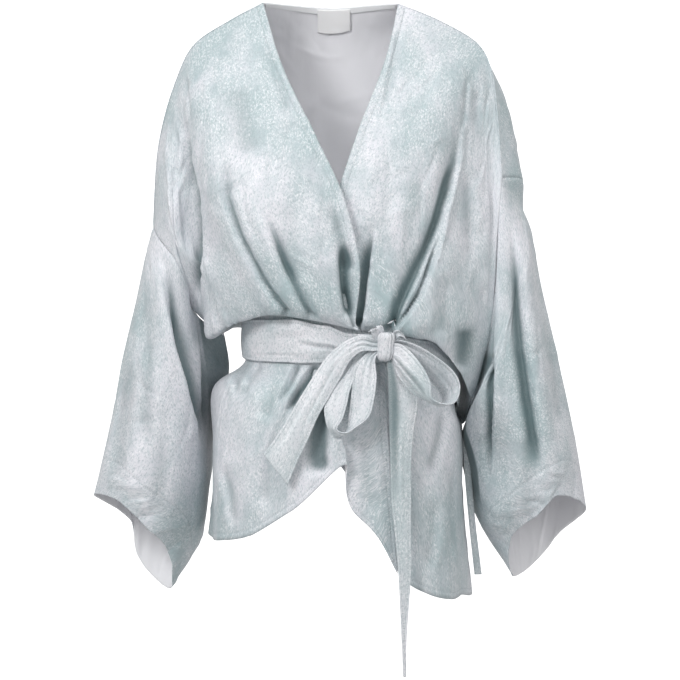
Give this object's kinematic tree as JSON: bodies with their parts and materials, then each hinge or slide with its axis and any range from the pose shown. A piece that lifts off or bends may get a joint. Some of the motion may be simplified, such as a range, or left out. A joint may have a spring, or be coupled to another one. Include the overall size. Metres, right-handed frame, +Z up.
{
  "type": "wrap kimono top",
  "caption": "Wide-sleeved wrap top in light mottled satin, worn shape with no wearer, tied at the waist by a sash with a hanging bow.",
  "frame": {"origin": "middle of the wearer's neck, level with the tops of the shoulder seams", "axes": "+X to the wearer's left, -Y to the front, +Z up"},
  "size_m": [0.606, 0.2835, 0.8168],
  "materials": {
    "satin": "soft satin, mottled pale sage and lilac white, matte and lighter on the wrong side",
    "sash_satin": "soft satin, mottled pale sage and lilac white",
    "neck_tape": "matte pale woven facing",
    "label_cloth": "matte off-white woven label, plain"
  },
  "bodies": {
    "root": {"back": "satin", "front_right": "satin", "front_left": "satin", "sleeve_right": "satin", "sleeve_left": "satin", "belt_band": "sash_satin", "bow_knot": "sash_satin", "bow_loop_left": "sash_satin", "bow_loop_right": "sash_satin", "tail_short": "sash_satin", "tail_long": "sash_satin", "side_tie": "sash_satin", "neck_band": "neck_tape", "label": "label_cloth"}
  },
  "joints": []
}
